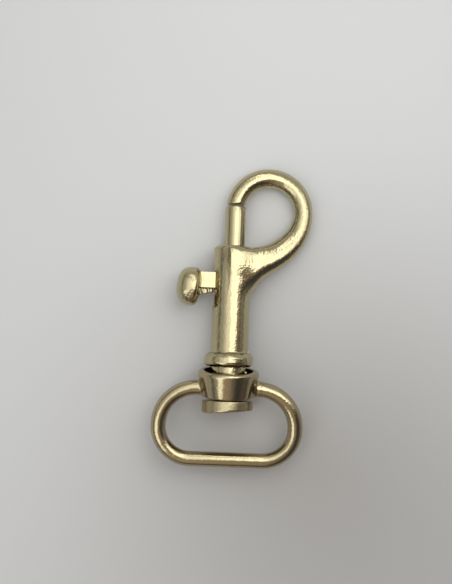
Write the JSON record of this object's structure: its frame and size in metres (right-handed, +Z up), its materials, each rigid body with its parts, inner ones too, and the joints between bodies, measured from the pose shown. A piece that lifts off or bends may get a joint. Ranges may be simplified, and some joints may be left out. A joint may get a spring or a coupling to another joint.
{
  "type": "snap hook",
  "caption": "Swivel bolt snap hook: curved hook arm, spring bolt with thumb stud, and an oval swivel eye for flat webbing.",
  "frame": {"origin": "on the surface that the hook lies on, under the middle of its outer box", "axes": "+Z up from that surface, +Y from the webbing eye towards the hook's crown, +X towards the side that the hook arm is on"},
  "size_m": [0.032, 0.062, 0.0129],
  "materials": {
    "gold_plating": "polished light gold plating over a zinc die casting, with small casting marks",
    "spring_steel": "drawn wire, bare"
  },
  "bodies": {
    "hook": {"hook_body": "gold_plating", "swivel_rivet": "gold_plating", "bolt_spring": "spring_steel"},
    "bolt": {"bolt": "gold_plating", "thumb_stud": "gold_plating"},
    "swivel": {"swivel_loop": "gold_plating"}
  },
  "joints": [
    {"name": "bolt_slide", "type": "slide", "parent": "hook", "child": "bolt", "axis": [0, -0.9969, 0.0789], "range_m": [0, 0.0035], "stiffness_N_per_m": 300, "springref_m": -0.004, "deforming": ["bolt_spring"]},
    {"name": "swivel_turn", "type": "hinge", "parent": "hook", "child": "swivel", "pos_m": [-0.00037, -0.01561, 0.00617], "axis": [0, 0.9969, -0.0789], "continuous": true}
  ]
}
